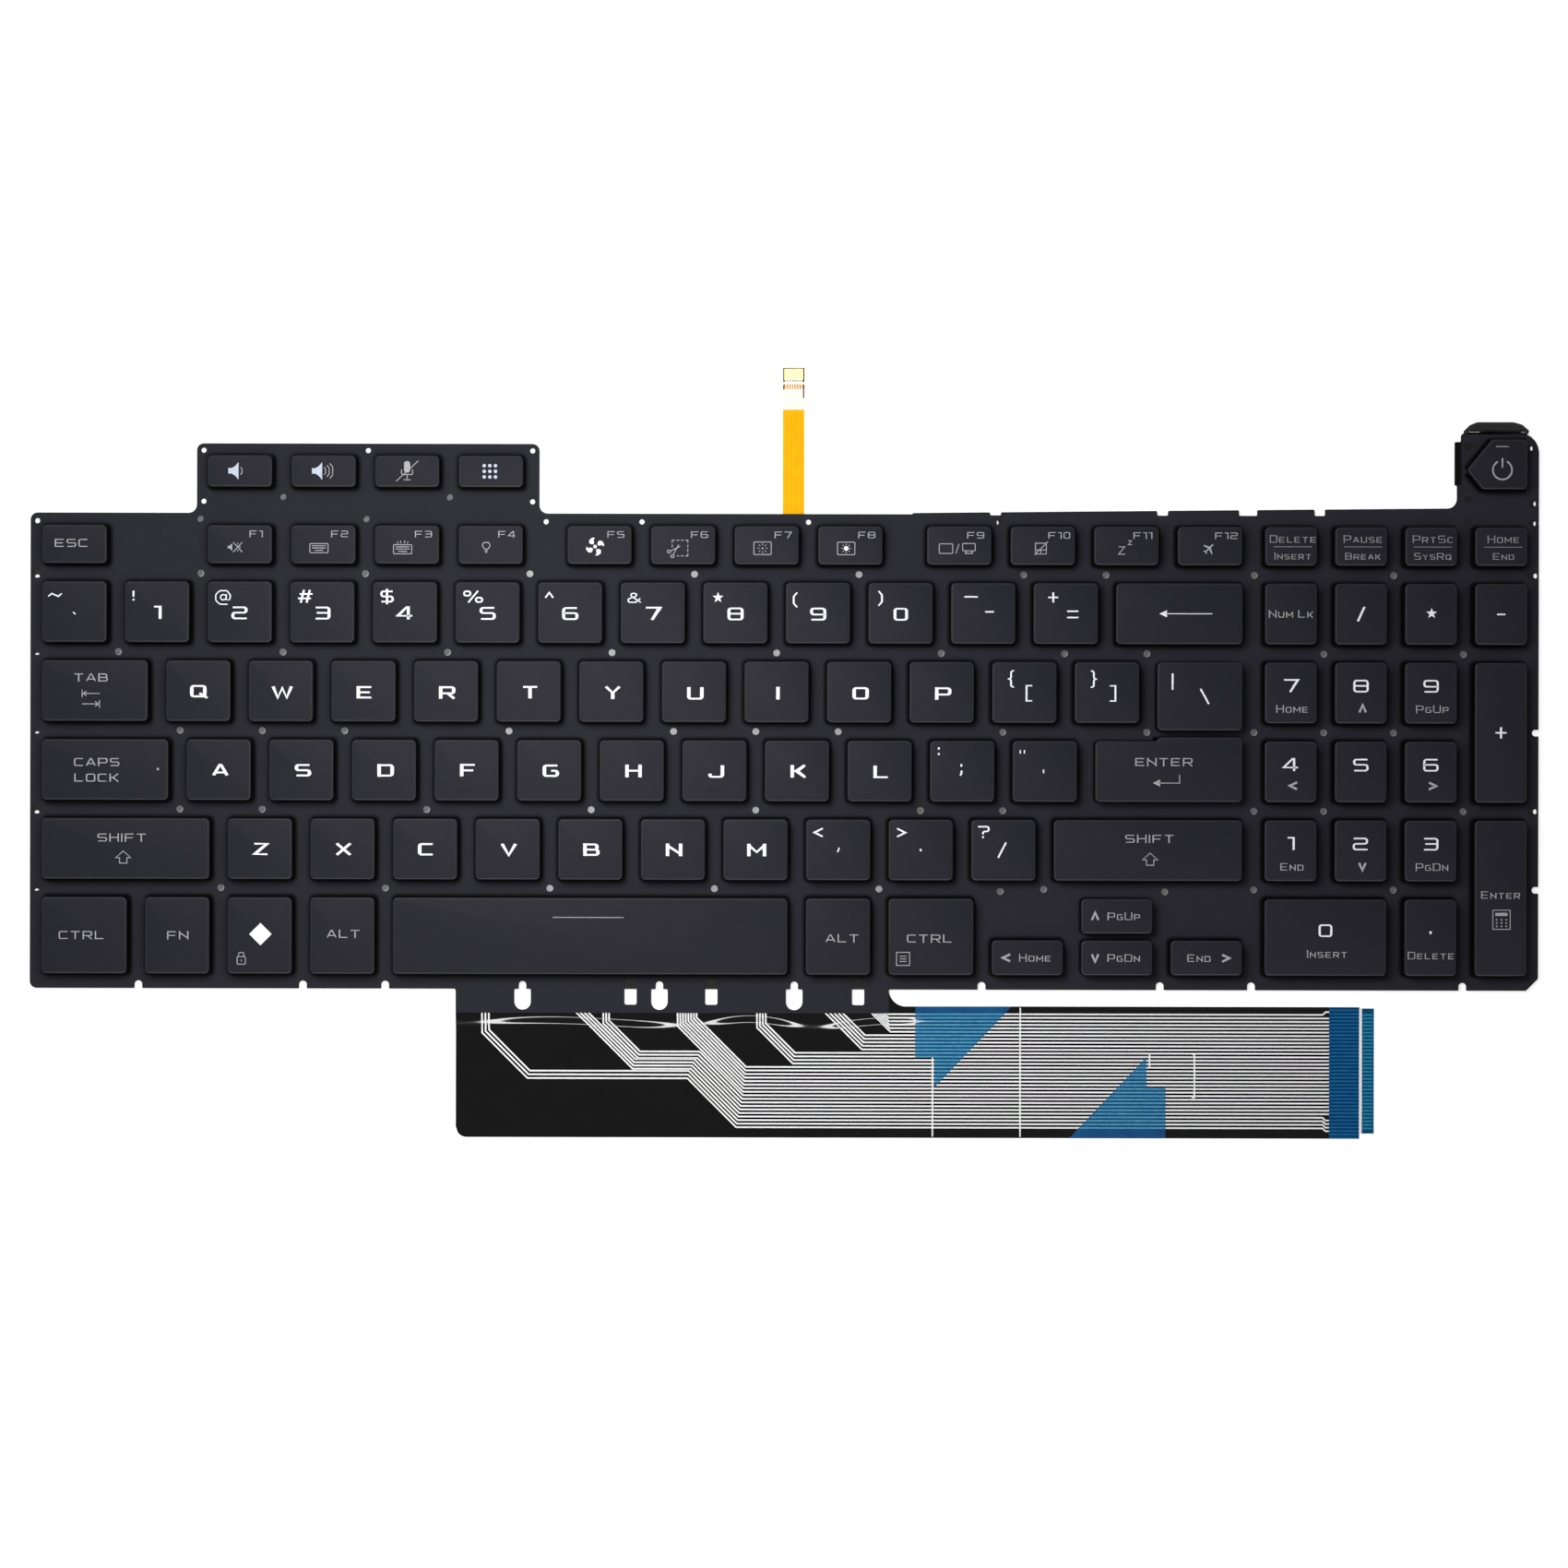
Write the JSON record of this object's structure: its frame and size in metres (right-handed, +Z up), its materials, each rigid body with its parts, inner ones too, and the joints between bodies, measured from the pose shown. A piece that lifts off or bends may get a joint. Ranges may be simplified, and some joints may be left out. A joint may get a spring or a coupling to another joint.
{
  "type": "laptop keyboard",
  "caption": "Flat laptop keyboard module: scissor keys over a film switch membrane on a metal plate, with a numeric pad, a backlight ribbon and a wide film tail.",
  "frame": {"origin": "under the middle of the module's box, ribbon left out, on the surface it lies on", "axes": "+X along the key rows to the right, +Y towards the function keys, +Z up out of the keys"},
  "size_m": [0.3494, 0.1785, 0.0058],
  "materials": {
    "keycap": "satin moulded, charcoal",
    "deck_film": "matte black film",
    "tail_film": "glossy black film with printed white lines",
    "spacer_film": "clear film",
    "plate": "black coated steel sheet",
    "rubber": "translucent silicone",
    "link": "moulded, black",
    "wire": "bright wire",
    "guide": "clear sheet",
    "reflector": "white film",
    "flex": "orange polyimide",
    "diode": "cream moulded",
    "contact_pad": "white stiffener with gold contacts",
    "stiffener": "blue film",
    "tape": "blue adhesive patch"
  },
  "bodies": {
    "deck": {"support_plate": "plate", "membrane_top_film": "deck_film", "membrane_spacer": "spacer_film", "membrane_bottom_film": "tail_film", "light_guide": "guide", "reflector_film": "reflector", "backlight_strip": "flex", "backlight_leds": "diode", "backlight_ribbon": "flex", "ribbon_contact_pad": "contact_pad", "tail_stiffener": "stiffener", "tail_tapes": "tape", "scissor_outer_links": "link", "scissor_inner_links": "link", "rubber_domes": "rubber", "stabiliser_wires": "wire", "function_row_keys": "keycap", "number_row_keys": "keycap", "symbol_keys": "keycap", "pad_and_arrow_keys": "keycap"},
    "key_backspace": {"key_backspace": "keycap"},
    "key_tab": {"key_tab": "keycap"},
    "key_q": {"key_q": "keycap"},
    "key_w": {"key_w": "keycap"},
    "key_e": {"key_e": "keycap"},
    "key_r": {"key_r": "keycap"},
    "key_t": {"key_t": "keycap"},
    "key_y": {"key_y": "keycap"},
    "key_u": {"key_u": "keycap"},
    "key_i": {"key_i": "keycap"},
    "key_o": {"key_o": "keycap"},
    "key_p": {"key_p": "keycap"},
    "key_caps_lock": {"key_caps_lock": "keycap"},
    "key_a": {"key_a": "keycap"},
    "key_s": {"key_s": "keycap"},
    "key_d": {"key_d": "keycap"},
    "key_f": {"key_f": "keycap"},
    "key_g": {"key_g": "keycap"},
    "key_h": {"key_h": "keycap"},
    "key_j": {"key_j": "keycap"},
    "key_k": {"key_k": "keycap"},
    "key_l": {"key_l": "keycap"},
    "key_enter": {"key_enter": "keycap"},
    "key_left_shift": {"key_left_shift": "keycap"},
    "key_z": {"key_z": "keycap"},
    "key_x": {"key_x": "keycap"},
    "key_c": {"key_c": "keycap"},
    "key_v": {"key_v": "keycap"},
    "key_b": {"key_b": "keycap"},
    "key_n": {"key_n": "keycap"},
    "key_m": {"key_m": "keycap"},
    "key_right_shift": {"key_right_shift": "keycap"},
    "key_left_ctrl": {"key_left_ctrl": "keycap"},
    "key_fn": {"key_fn": "keycap"},
    "key_system": {"key_system": "keycap"},
    "key_left_alt": {"key_left_alt": "keycap"},
    "key_space": {"key_space": "keycap"},
    "key_right_alt": {"key_right_alt": "keycap"},
    "key_right_ctrl": {"key_right_ctrl": "keycap"},
    "key_power": {"key_power": "keycap"}
  },
  "joints": [
    {"name": "press_backspace", "type": "slide", "parent": "deck", "child": "key_backspace", "axis": [0, 0, -1], "range_m": [0, 0.0018], "stiffness_N_per_m": 150, "springref_m": -0.002, "deforming": ["rubber_domes", "scissor_outer_links", "scissor_inner_links", "stabiliser_wires"]},
    {"name": "press_tab", "type": "slide", "parent": "deck", "child": "key_tab", "axis": [0, 0, -1], "range_m": [0, 0.0018], "stiffness_N_per_m": 150, "springref_m": -0.002, "deforming": ["rubber_domes", "scissor_outer_links", "scissor_inner_links"]},
    {"name": "press_q", "type": "slide", "parent": "deck", "child": "key_q", "axis": [0, 0, -1], "range_m": [0, 0.0018], "stiffness_N_per_m": 150, "springref_m": -0.002, "deforming": ["rubber_domes", "scissor_outer_links", "scissor_inner_links"]},
    {"name": "press_w", "type": "slide", "parent": "deck", "child": "key_w", "axis": [0, 0, -1], "range_m": [0, 0.0018], "stiffness_N_per_m": 150, "springref_m": -0.002, "deforming": ["rubber_domes", "scissor_outer_links", "scissor_inner_links"]},
    {"name": "press_e", "type": "slide", "parent": "deck", "child": "key_e", "axis": [0, 0, -1], "range_m": [0, 0.0018], "stiffness_N_per_m": 150, "springref_m": -0.002, "deforming": ["rubber_domes", "scissor_outer_links", "scissor_inner_links"]},
    {"name": "press_r", "type": "slide", "parent": "deck", "child": "key_r", "axis": [0, 0, -1], "range_m": [0, 0.0018], "stiffness_N_per_m": 150, "springref_m": -0.002, "deforming": ["rubber_domes", "scissor_outer_links", "scissor_inner_links"]},
    {"name": "press_t", "type": "slide", "parent": "deck", "child": "key_t", "axis": [0, 0, -1], "range_m": [0, 0.0018], "stiffness_N_per_m": 150, "springref_m": -0.002, "deforming": ["rubber_domes", "scissor_outer_links", "scissor_inner_links"]},
    {"name": "press_y", "type": "slide", "parent": "deck", "child": "key_y", "axis": [0, 0, -1], "range_m": [0, 0.0018], "stiffness_N_per_m": 150, "springref_m": -0.002, "deforming": ["rubber_domes", "scissor_outer_links", "scissor_inner_links"]},
    {"name": "press_u", "type": "slide", "parent": "deck", "child": "key_u", "axis": [0, 0, -1], "range_m": [0, 0.0018], "stiffness_N_per_m": 150, "springref_m": -0.002, "deforming": ["rubber_domes", "scissor_outer_links", "scissor_inner_links"]},
    {"name": "press_i", "type": "slide", "parent": "deck", "child": "key_i", "axis": [0, 0, -1], "range_m": [0, 0.0018], "stiffness_N_per_m": 150, "springref_m": -0.002, "deforming": ["rubber_domes", "scissor_outer_links", "scissor_inner_links"]},
    {"name": "press_o", "type": "slide", "parent": "deck", "child": "key_o", "axis": [0, 0, -1], "range_m": [0, 0.0018], "stiffness_N_per_m": 150, "springref_m": -0.002, "deforming": ["rubber_domes", "scissor_outer_links", "scissor_inner_links"]},
    {"name": "press_p", "type": "slide", "parent": "deck", "child": "key_p", "axis": [0, 0, -1], "range_m": [0, 0.0018], "stiffness_N_per_m": 150, "springref_m": -0.002, "deforming": ["rubber_domes", "scissor_outer_links", "scissor_inner_links"]},
    {"name": "press_caps_lock", "type": "slide", "parent": "deck", "child": "key_caps_lock", "axis": [0, 0, -1], "range_m": [0, 0.0018], "stiffness_N_per_m": 150, "springref_m": -0.002, "deforming": ["rubber_domes", "scissor_outer_links", "scissor_inner_links", "stabiliser_wires"]},
    {"name": "press_a", "type": "slide", "parent": "deck", "child": "key_a", "axis": [0, 0, -1], "range_m": [0, 0.0018], "stiffness_N_per_m": 150, "springref_m": -0.002, "deforming": ["rubber_domes", "scissor_outer_links", "scissor_inner_links"]},
    {"name": "press_s", "type": "slide", "parent": "deck", "child": "key_s", "axis": [0, 0, -1], "range_m": [0, 0.0018], "stiffness_N_per_m": 150, "springref_m": -0.002, "deforming": ["rubber_domes", "scissor_outer_links", "scissor_inner_links"]},
    {"name": "press_d", "type": "slide", "parent": "deck", "child": "key_d", "axis": [0, 0, -1], "range_m": [0, 0.0018], "stiffness_N_per_m": 150, "springref_m": -0.002, "deforming": ["rubber_domes", "scissor_outer_links", "scissor_inner_links"]},
    {"name": "press_f", "type": "slide", "parent": "deck", "child": "key_f", "axis": [0, 0, -1], "range_m": [0, 0.0018], "stiffness_N_per_m": 150, "springref_m": -0.002, "deforming": ["rubber_domes", "scissor_outer_links", "scissor_inner_links"]},
    {"name": "press_g", "type": "slide", "parent": "deck", "child": "key_g", "axis": [0, 0, -1], "range_m": [0, 0.0018], "stiffness_N_per_m": 150, "springref_m": -0.002, "deforming": ["rubber_domes", "scissor_outer_links", "scissor_inner_links"]},
    {"name": "press_h", "type": "slide", "parent": "deck", "child": "key_h", "axis": [0, 0, -1], "range_m": [0, 0.0018], "stiffness_N_per_m": 150, "springref_m": -0.002, "deforming": ["rubber_domes", "scissor_outer_links", "scissor_inner_links"]},
    {"name": "press_j", "type": "slide", "parent": "deck", "child": "key_j", "axis": [0, 0, -1], "range_m": [0, 0.0018], "stiffness_N_per_m": 150, "springref_m": -0.002, "deforming": ["rubber_domes", "scissor_outer_links", "scissor_inner_links"]},
    {"name": "press_k", "type": "slide", "parent": "deck", "child": "key_k", "axis": [0, 0, -1], "range_m": [0, 0.0018], "stiffness_N_per_m": 150, "springref_m": -0.002, "deforming": ["rubber_domes", "scissor_outer_links", "scissor_inner_links"]},
    {"name": "press_l", "type": "slide", "parent": "deck", "child": "key_l", "axis": [0, 0, -1], "range_m": [0, 0.0018], "stiffness_N_per_m": 150, "springref_m": -0.002, "deforming": ["rubber_domes", "scissor_outer_links", "scissor_inner_links"]},
    {"name": "press_enter", "type": "slide", "parent": "deck", "child": "key_enter", "axis": [0, 0, -1], "range_m": [0, 0.0018], "stiffness_N_per_m": 150, "springref_m": -0.002, "deforming": ["rubber_domes", "scissor_outer_links", "scissor_inner_links", "stabiliser_wires"]},
    {"name": "press_left_shift", "type": "slide", "parent": "deck", "child": "key_left_shift", "axis": [0, 0, -1], "range_m": [0, 0.0018], "stiffness_N_per_m": 150, "springref_m": -0.002, "deforming": ["rubber_domes", "scissor_outer_links", "scissor_inner_links", "stabiliser_wires"]},
    {"name": "press_z", "type": "slide", "parent": "deck", "child": "key_z", "axis": [0, 0, -1], "range_m": [0, 0.0018], "stiffness_N_per_m": 150, "springref_m": -0.002, "deforming": ["rubber_domes", "scissor_outer_links", "scissor_inner_links"]},
    {"name": "press_x", "type": "slide", "parent": "deck", "child": "key_x", "axis": [0, 0, -1], "range_m": [0, 0.0018], "stiffness_N_per_m": 150, "springref_m": -0.002, "deforming": ["rubber_domes", "scissor_outer_links", "scissor_inner_links"]},
    {"name": "press_c", "type": "slide", "parent": "deck", "child": "key_c", "axis": [0, 0, -1], "range_m": [0, 0.0018], "stiffness_N_per_m": 150, "springref_m": -0.002, "deforming": ["rubber_domes", "scissor_outer_links", "scissor_inner_links"]},
    {"name": "press_v", "type": "slide", "parent": "deck", "child": "key_v", "axis": [0, 0, -1], "range_m": [0, 0.0018], "stiffness_N_per_m": 150, "springref_m": -0.002, "deforming": ["rubber_domes", "scissor_outer_links", "scissor_inner_links"]},
    {"name": "press_b", "type": "slide", "parent": "deck", "child": "key_b", "axis": [0, 0, -1], "range_m": [0, 0.0018], "stiffness_N_per_m": 150, "springref_m": -0.002, "deforming": ["rubber_domes", "scissor_outer_links", "scissor_inner_links"]},
    {"name": "press_n", "type": "slide", "parent": "deck", "child": "key_n", "axis": [0, 0, -1], "range_m": [0, 0.0018], "stiffness_N_per_m": 150, "springref_m": -0.002, "deforming": ["rubber_domes", "scissor_outer_links", "scissor_inner_links"]},
    {"name": "press_m", "type": "slide", "parent": "deck", "child": "key_m", "axis": [0, 0, -1], "range_m": [0, 0.0018], "stiffness_N_per_m": 150, "springref_m": -0.002, "deforming": ["rubber_domes", "scissor_outer_links", "scissor_inner_links"]},
    {"name": "press_right_shift", "type": "slide", "parent": "deck", "child": "key_right_shift", "axis": [0, 0, -1], "range_m": [0, 0.0018], "stiffness_N_per_m": 150, "springref_m": -0.002, "deforming": ["rubber_domes", "scissor_outer_links", "scissor_inner_links", "stabiliser_wires"]},
    {"name": "press_left_ctrl", "type": "slide", "parent": "deck", "child": "key_left_ctrl", "axis": [0, 0, -1], "range_m": [0, 0.0018], "stiffness_N_per_m": 150, "springref_m": -0.002, "deforming": ["rubber_domes", "scissor_outer_links", "scissor_inner_links"]},
    {"name": "press_fn", "type": "slide", "parent": "deck", "child": "key_fn", "axis": [0, 0, -1], "range_m": [0, 0.0018], "stiffness_N_per_m": 150, "springref_m": -0.002, "deforming": ["rubber_domes", "scissor_outer_links", "scissor_inner_links"]},
    {"name": "press_system", "type": "slide", "parent": "deck", "child": "key_system", "axis": [0, 0, -1], "range_m": [0, 0.0018], "stiffness_N_per_m": 150, "springref_m": -0.002, "deforming": ["rubber_domes", "scissor_outer_links", "scissor_inner_links"]},
    {"name": "press_left_alt", "type": "slide", "parent": "deck", "child": "key_left_alt", "axis": [0, 0, -1], "range_m": [0, 0.0018], "stiffness_N_per_m": 150, "springref_m": -0.002, "deforming": ["rubber_domes", "scissor_outer_links", "scissor_inner_links"]},
    {"name": "press_space", "type": "slide", "parent": "deck", "child": "key_space", "axis": [0, 0, -1], "range_m": [0, 0.0018], "stiffness_N_per_m": 150, "springref_m": -0.002, "deforming": ["rubber_domes", "scissor_outer_links", "scissor_inner_links", "stabiliser_wires"]},
    {"name": "press_right_alt", "type": "slide", "parent": "deck", "child": "key_right_alt", "axis": [0, 0, -1], "range_m": [0, 0.0018], "stiffness_N_per_m": 150, "springref_m": -0.002, "deforming": ["rubber_domes", "scissor_outer_links", "scissor_inner_links"]},
    {"name": "press_right_ctrl", "type": "slide", "parent": "deck", "child": "key_right_ctrl", "axis": [0, 0, -1], "range_m": [0, 0.0018], "stiffness_N_per_m": 150, "springref_m": -0.002, "deforming": ["rubber_domes", "scissor_outer_links", "scissor_inner_links"]},
    {"name": "press_power", "type": "slide", "parent": "deck", "child": "key_power", "axis": [0, 0, -1], "range_m": [0, 0.0018], "stiffness_N_per_m": 150, "springref_m": -0.002, "deforming": ["rubber_domes"]}
  ]
}
